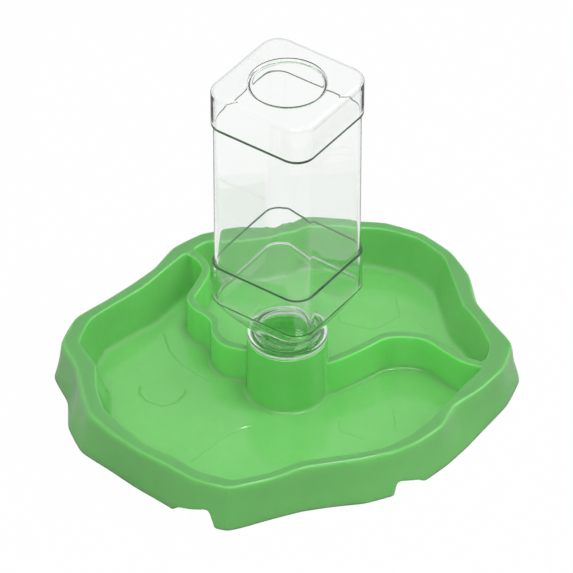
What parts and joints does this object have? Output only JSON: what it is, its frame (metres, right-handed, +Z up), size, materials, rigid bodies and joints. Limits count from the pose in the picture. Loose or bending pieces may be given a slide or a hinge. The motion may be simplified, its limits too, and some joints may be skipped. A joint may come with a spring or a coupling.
{
  "type": "gravity feeder",
  "caption": "Rock-outline moulded tray with two basins, a wavy divider and a central socket, holding an upturned clear square bottle on a soft washer.",
  "frame": {"origin": "on the socket's axis, on the ground plane under the tray", "axes": "+Z up along the socket's axis and the bottle; the bottle's flat sides face X and Y; the rear water basin is on the +Y side and the front food basin on the -Y side"},
  "size_m": [0.2172, 0.2397, 0.206],
  "materials": {
    "tray_plastic": "semi-gloss green moulding",
    "washer_silicone": "milky translucent silicone",
    "bottle_clear": "clear blown plastic"
  },
  "bodies": {
    "tray": {"tray": "tray_plastic"},
    "washer": {"seal_washer": "washer_silicone"},
    "bottle": {"bottle": "bottle_clear"}
  },
  "joints": [
    {"name": "bottle_lift", "type": "slide", "parent": "tray", "child": "washer", "axis": [0, 0, 1], "range_m": [0, 0.06]},
    {"name": "bottle_turn", "type": "hinge", "parent": "washer", "child": "bottle", "pos_m": [0, 0, 0.04], "axis": [0, 0, 1], "continuous": true}
  ]
}
